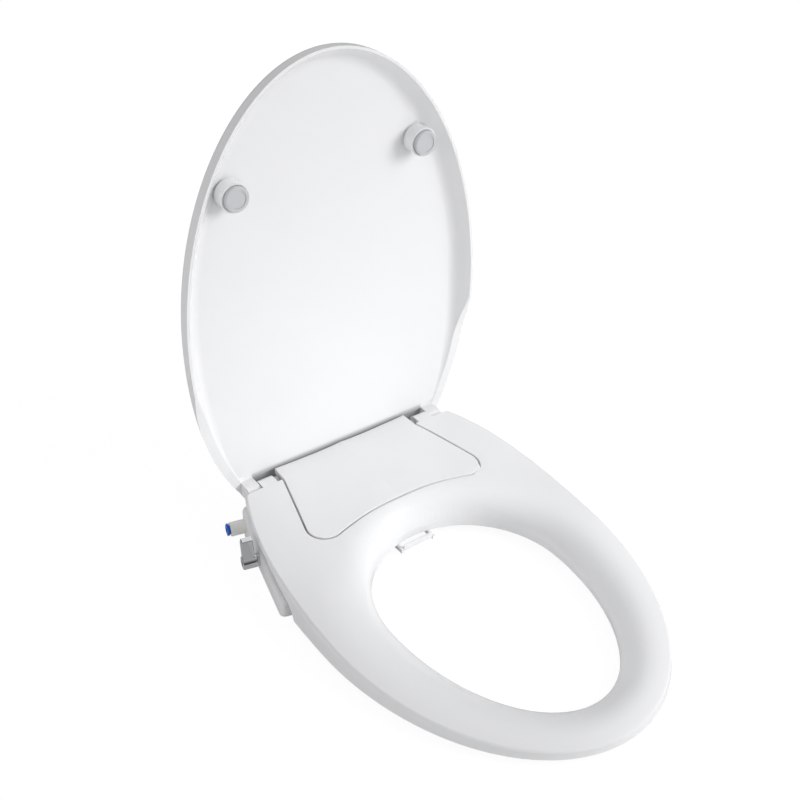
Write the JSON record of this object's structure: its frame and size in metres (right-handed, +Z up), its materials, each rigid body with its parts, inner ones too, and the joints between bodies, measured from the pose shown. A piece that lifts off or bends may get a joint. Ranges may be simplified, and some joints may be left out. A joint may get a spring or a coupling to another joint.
{
  "type": "bidet seat",
  "caption": "Elongated bidet toilet seat with hinged lid and seat ring, flush rear panel, side lever valve, push-fit water inlet and sliding spray nozzles.",
  "frame": {"origin": "midway between the two bowl bolts, on the rim of the bowl", "axes": "+X to the right seen from the front, +Y to the rear, +Z up; the pod is on -X and the lid stands open"},
  "size_m": [0.3649, 0.512, 0.523],
  "materials": {
    "white_gloss": "gloss",
    "housing_white": "satin",
    "damper_grey": "satin",
    "lever_chrome": "polished",
    "inlet_white": "satin",
    "collet_blue": "satin",
    "bumper_grey": "matte",
    "dark_rubber": "matte",
    "tube_clear": "satin",
    "ceramic": "satin",
    "steel": "satin",
    "brass": "satin",
    "nozzle_grey": "gloss",
    "plate_grey": "matte",
    "bush_white": "matte"
  },
  "bodies": {
    "base": {"base_tray": "housing_white", "top_cover": "white_gloss", "mounting_plate": "plate_grey", "side_pod": "housing_white", "inlet_body": "inlet_white", "inlet_seal": "dark_rubber", "inlet_filter": "steel", "valve_body": "brass", "valve_fixed_disc": "ceramic", "valve_nut": "lever_chrome", "feed_tube": "tube_clear", "rear_wash_tube": "tube_clear", "front_wash_tube": "tube_clear", "nozzle_housing": "housing_white", "guard_pin": "steel", "seat_damper": "damper_grey", "lid_damper": "damper_grey", "housing_screws": "steel", "base_feet": "dark_rubber", "release_spring": "steel", "rear_nozzle_spring": "steel", "front_nozzle_spring": "steel"},
    "lid": {"lid_shell": "white_gloss", "lid_bumper_bases": "white_gloss", "lid_bumper_pads": "bumper_grey", "lid_hinge_bushes": "bush_white"},
    "seat": {"seat_ring": "white_gloss", "seat_bumpers": "bumper_grey", "seat_hinge_bushes": "bush_white"},
    "lever": {"lever_knob": "lever_chrome", "valve_stem": "brass", "valve_moving_disc": "ceramic", "knob_screw": "steel"},
    "rear_spray": {"rear_nozzle": "nozzle_grey", "rear_nozzle_tip": "nozzle_grey"},
    "front_spray": {"front_nozzle": "nozzle_grey", "front_nozzle_tip": "nozzle_grey"},
    "guard": {"nozzle_guard": "nozzle_grey"},
    "collet": {"inlet_collet": "collet_blue"},
    "button": {"release_button": "housing_white"}
  },
  "joints": [
    {"name": "lid_hinge", "type": "hinge", "parent": "base", "child": "lid", "pos_m": [0, 0.027, 0.0405], "axis": [1, 0, 0], "range_deg": [0, 92.7]},
    {"name": "seat_hinge", "type": "hinge", "parent": "base", "child": "seat", "pos_m": [0, 0.027, 0.0405], "axis": [1, 0, 0], "range_deg": [-92, 0]},
    {"name": "lever_turn", "type": "hinge", "parent": "base", "child": "lever", "pos_m": [-0.17299, -0.0467, 0.017], "axis": [-0.9718, 0.2358, 0], "range_deg": [-45, 45]},
    {"name": "rear_nozzle_slide", "type": "slide", "parent": "base", "child": "rear_spray", "axis": [0, -0.9511, -0.309], "range_m": [0, 0.045], "stiffness_N_per_m": 40, "springref_m": -0.01, "deforming": ["rear_nozzle_spring"]},
    {"name": "front_nozzle_slide", "type": "slide", "parent": "base", "child": "front_spray", "axis": [0, -0.9511, -0.309], "range_m": [0, 0.045], "stiffness_N_per_m": 40, "springref_m": -0.01, "deforming": ["front_nozzle_spring"]},
    {"name": "guard_swing", "type": "hinge", "parent": "base", "child": "guard", "pos_m": [0, -0.115, 0.006], "axis": [1, 0, 0], "range_deg": [0, 70], "stiffness_Nm_per_rad": 0.002, "springref_deg": -17.19},
    {"name": "collet_press", "type": "slide", "parent": "base", "child": "collet", "axis": [-0.9718, 0.2358, 0], "range_m": [-0.0014, 0]},
    {"name": "release_press", "type": "slide", "parent": "base", "child": "button", "axis": [1, 0, 0], "range_m": [-0.0025, 0], "stiffness_N_per_m": 400, "springref_m": 0.003, "deforming": ["release_spring"]}
  ]
}
